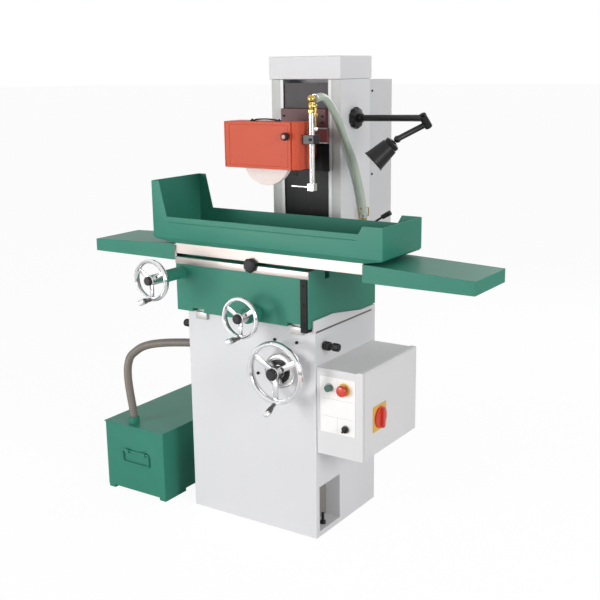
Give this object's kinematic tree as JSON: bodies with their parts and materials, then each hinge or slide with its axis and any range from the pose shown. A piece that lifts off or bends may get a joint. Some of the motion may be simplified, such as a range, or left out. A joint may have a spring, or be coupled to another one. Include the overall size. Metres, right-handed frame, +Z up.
{
  "type": "manual surface grinder",
  "caption": "Manual surface grinder: cabinet base, column, guarded wheelhead, saddle and table with splash guard, three handwheels, lamp, switch box and coolant tank.",
  "frame": {"origin": "middle of the base cabinet's footprint, on the floor", "axes": "+Z up, +X to the operator's right along the table travel, +Y from the operator towards the column"},
  "size_m": [1.5246, 1.0038, 1.6376],
  "materials": {
    "light_grey_paint": "painted",
    "green_paint": "painted",
    "red_paint": "painted",
    "maroon_paint": "painted",
    "dark_paint": "painted",
    "steel": "ground",
    "chrome": "polished",
    "brass": "turned",
    "black_plastic": "moulded",
    "lamp_black": "satin black",
    "clear_hose": "translucent",
    "drain_rubber": "matt",
    "grit": "bonded ceramic grit",
    "white_panel": "painted",
    "red_plastic": "moulded",
    "green_plastic": "moulded"
  },
  "bodies": {
    "frame": {"base_cabinet": "light_grey_paint", "levelling_bolt_left": "black_plastic", "levelling_bolt_right": "black_plastic", "column": "light_grey_paint", "column_cap": "light_grey_paint", "rear_cover": "light_grey_paint", "supply_valve": "brass", "lamp_base": "lamp_black", "cross_nut": "brass", "electrical_box": "light_grey_paint", "control_panel": "white_panel", "tank_body": "green_paint", "tank_lid": "green_paint", "drain_hose": "drain_rubber"},
    "head": {"head_slide": "maroon_paint", "upper_way_cover": "dark_paint", "lower_way_cover": "dark_paint", "wheelhead": "maroon_paint", "spindle_motor": "dark_paint", "wheel_guard": "red_paint", "nozzle_clamp": "black_plastic", "coolant_hose": "clear_hose"},
    "wheel_spindle": {"spindle": "steel", "grinding_wheel": "grit", "wheel_flange": "steel"},
    "guard_front": {"guard_door": "red_paint"},
    "guard_catch": {"guard_knob": "black_plastic"},
    "nozzle": {"nozzle_pipe": "steel", "coolant_valve": "brass"},
    "nozzle_cock": {"valve_lever": "brass"},
    "elevating_drive": {"elevating_shaft": "steel", "elevating_dial": "chrome", "elevating_handwheel": "chrome"},
    "elevating_handle": {"elevating_grip": "chrome"},
    "transfer": {"transfer_shaft": "steel"},
    "lead_screw": {"elevating_screw": "steel"},
    "saddle": {"saddle": "green_paint"},
    "cross_drive": {"cross_screw": "steel", "cross_handwheel": "chrome"},
    "cross_handle": {"cross_grip": "chrome"},
    "table": {"table": "steel", "table_rack": "steel", "splash_guard": "green_paint", "left_wing": "green_paint", "right_wing": "green_paint"},
    "table_drive": {"pinion_shaft": "steel", "table_handwheel": "chrome"},
    "table_handle": {"table_grip": "chrome"},
    "lamp_lower": {"lamp_lower_arm": "lamp_black"},
    "lamp_upper": {"lamp_upper_arm": "lamp_black"},
    "lamp_head": {"lamp_shade": "lamp_black"},
    "cabinet_door": {"electrical_door": "light_grey_paint"},
    "main_switch": {"main_switch": "red_plastic"},
    "start_button": {"start_button": "green_plastic"},
    "emergency_stop": {"emergency_stop": "red_plastic"},
    "selector": {"selector_knob": "black_plastic"},
    "lock_left": {"side_lock_knob_left": "black_plastic"},
    "lock_right": {"side_lock_knob_right": "black_plastic"},
    "supply_cock": {"supply_lever": "black_plastic"},
    "tank_bail": {"tank_handle": "green_paint"}
  },
  "joints": [
    {"name": "head_slide", "type": "slide", "parent": "frame", "child": "head", "axis": [0, 0, 1], "range_m": [-0.14, 0.085], "deforming": ["coolant_hose"]},
    {"name": "spindle_spin", "type": "hinge", "parent": "head", "child": "wheel_spindle", "pos_m": [0.008, -0.084, 1.307], "axis": [0, 1, 0], "continuous": true},
    {"name": "guard_hinge", "type": "hinge", "parent": "head", "child": "guard_front", "pos_m": [-0.1345, -0.1318, 1.307], "axis": [0, 0, -1], "range_deg": [0, 110]},
    {"name": "guard_catch_turn", "type": "hinge", "parent": "guard_front", "child": "guard_catch", "pos_m": [0.122, -0.1346, 1.378], "axis": [0, 1, 0], "range_deg": [0, 90]},
    {"name": "nozzle_swivel", "type": "hinge", "parent": "head", "child": "nozzle", "pos_m": [0.188, -0.084, 1.367], "axis": [0, 0, 1], "range_deg": [-20, 30]},
    {"name": "nozzle_cock_turn", "type": "hinge", "parent": "nozzle", "child": "nozzle_cock", "pos_m": [0.2022, -0.084, 1.475], "axis": [-1, 0, 0], "range_deg": [0, 90]},
    {"name": "elevating_wheel", "type": "hinge", "parent": "frame", "child": "elevating_drive", "pos_m": [0.1665, -0.288, 0.611], "axis": [0, 1, 0], "continuous": true},
    {"name": "elevating_grip_spin", "type": "hinge", "parent": "elevating_drive", "child": "elevating_handle", "pos_m": [0.1665, -0.288, 0.5105], "axis": [0, 0.8823, 0.4706], "continuous": true},
    {"name": "transfer_spin", "type": "hinge", "parent": "frame", "child": "transfer", "pos_m": [0.0885, 0, 0.611], "axis": [0, 1, 0], "continuous": true},
    {"name": "lead_screw_spin", "type": "hinge", "parent": "frame", "child": "lead_screw", "pos_m": [0.0885, 0.232, 1], "axis": [0, 0, 1], "continuous": true},
    {"name": "cross_slide", "type": "slide", "parent": "frame", "child": "saddle", "axis": [0, 1, 0], "range_m": [-0.06, 0.08]},
    {"name": "cross_wheel", "type": "hinge", "parent": "saddle", "child": "cross_drive", "pos_m": [0.046, -0.313, 0.789], "axis": [0, 1, 0], "continuous": true},
    {"name": "cross_grip_spin", "type": "hinge", "parent": "cross_drive", "child": "cross_handle", "pos_m": [0.046, -0.343, 0.723], "axis": [0, 1, 0], "continuous": true},
    {"name": "table_slide", "type": "slide", "parent": "saddle", "child": "table", "axis": [1, 0, 0], "range_m": [-0.33, 0.14]},
    {"name": "table_wheel", "type": "hinge", "parent": "saddle", "child": "table_drive", "pos_m": [-0.27, -0.391, 0.8985], "axis": [0, 1, 0], "continuous": true},
    {"name": "table_grip_spin", "type": "hinge", "parent": "table_drive", "child": "table_handle", "pos_m": [-0.27, -0.421, 0.8325], "axis": [0, 1, 0], "continuous": true},
    {"name": "lamp_turn", "type": "hinge", "parent": "frame", "child": "lamp_lower", "pos_m": [0.1706, 0.26, 1.42], "axis": [1, 0, 0], "range_deg": [-60, 60]},
    {"name": "lamp_elbow", "type": "hinge", "parent": "lamp_lower", "child": "lamp_upper", "pos_m": [0.464, 0.197, 1.418], "axis": [0.1376, 0.6642, -0.7347], "range_deg": [-90, 20]},
    {"name": "lamp_tilt", "type": "hinge", "parent": "lamp_upper", "child": "lamp_head", "pos_m": [0.385, 0.147, 1.358], "axis": [0.1376, 0.6642, -0.7347], "range_deg": [-35, 35]},
    {"name": "cabinet_door_hinge", "type": "hinge", "parent": "frame", "child": "cabinet_door", "pos_m": [0.4483, 0.187, 0.4725], "axis": [0, 0, 1], "range_deg": [0, 110]},
    {"name": "main_switch_turn", "type": "hinge", "parent": "cabinet_door", "child": "main_switch", "pos_m": [0.4483, -0.083, 0.447], "axis": [1, 0, 0], "range_deg": [0, 90]},
    {"name": "start_push", "type": "slide", "parent": "frame", "child": "start_button", "axis": [0, 1, 0], "range_m": [0, 0.004]},
    {"name": "stop_push", "type": "slide", "parent": "frame", "child": "emergency_stop", "axis": [0, 1, 0], "range_m": [0, 0.005]},
    {"name": "selector_turn", "type": "hinge", "parent": "frame", "child": "selector", "pos_m": [0.386, -0.1993, 0.427], "axis": [0, 1, 0], "range_deg": [-45, 45]},
    {"name": "lock_turn_left", "type": "hinge", "parent": "frame", "child": "lock_left", "pos_m": [-0.2703, -0.15, 0.688], "axis": [-1, 0, 0], "range_deg": [0, 120]},
    {"name": "lock_turn_right", "type": "hinge", "parent": "frame", "child": "lock_right", "pos_m": [0.2703, -0.15, 0.688], "axis": [1, 0, 0], "range_deg": [0, 120]},
    {"name": "supply_cock_turn", "type": "hinge", "parent": "frame", "child": "supply_cock", "pos_m": [0.1915, 0.298, 1.02], "axis": [1, 0, 0], "range_deg": [0, 90]},
    {"name": "tank_bail_turn", "type": "hinge", "parent": "frame", "child": "tank_bail", "pos_m": [-0.514, -0.2607, 0.174], "axis": [-1, 0, 0], "range_deg": [0, 90]}
  ],
  "couplings": [
    {"joint": "elevating_wheel", "follows": "head_slide", "rad_per_m": 1256.6},
    {"joint": "transfer_spin", "follows": "head_slide", "rad_per_m": -1256.6},
    {"joint": "lead_screw_spin", "follows": "head_slide", "rad_per_m": -1256.6},
    {"joint": "cross_wheel", "follows": "cross_slide", "rad_per_m": 1256.6},
    {"joint": "table_wheel", "follows": "table_slide", "rad_per_m": 50}
  ]
}
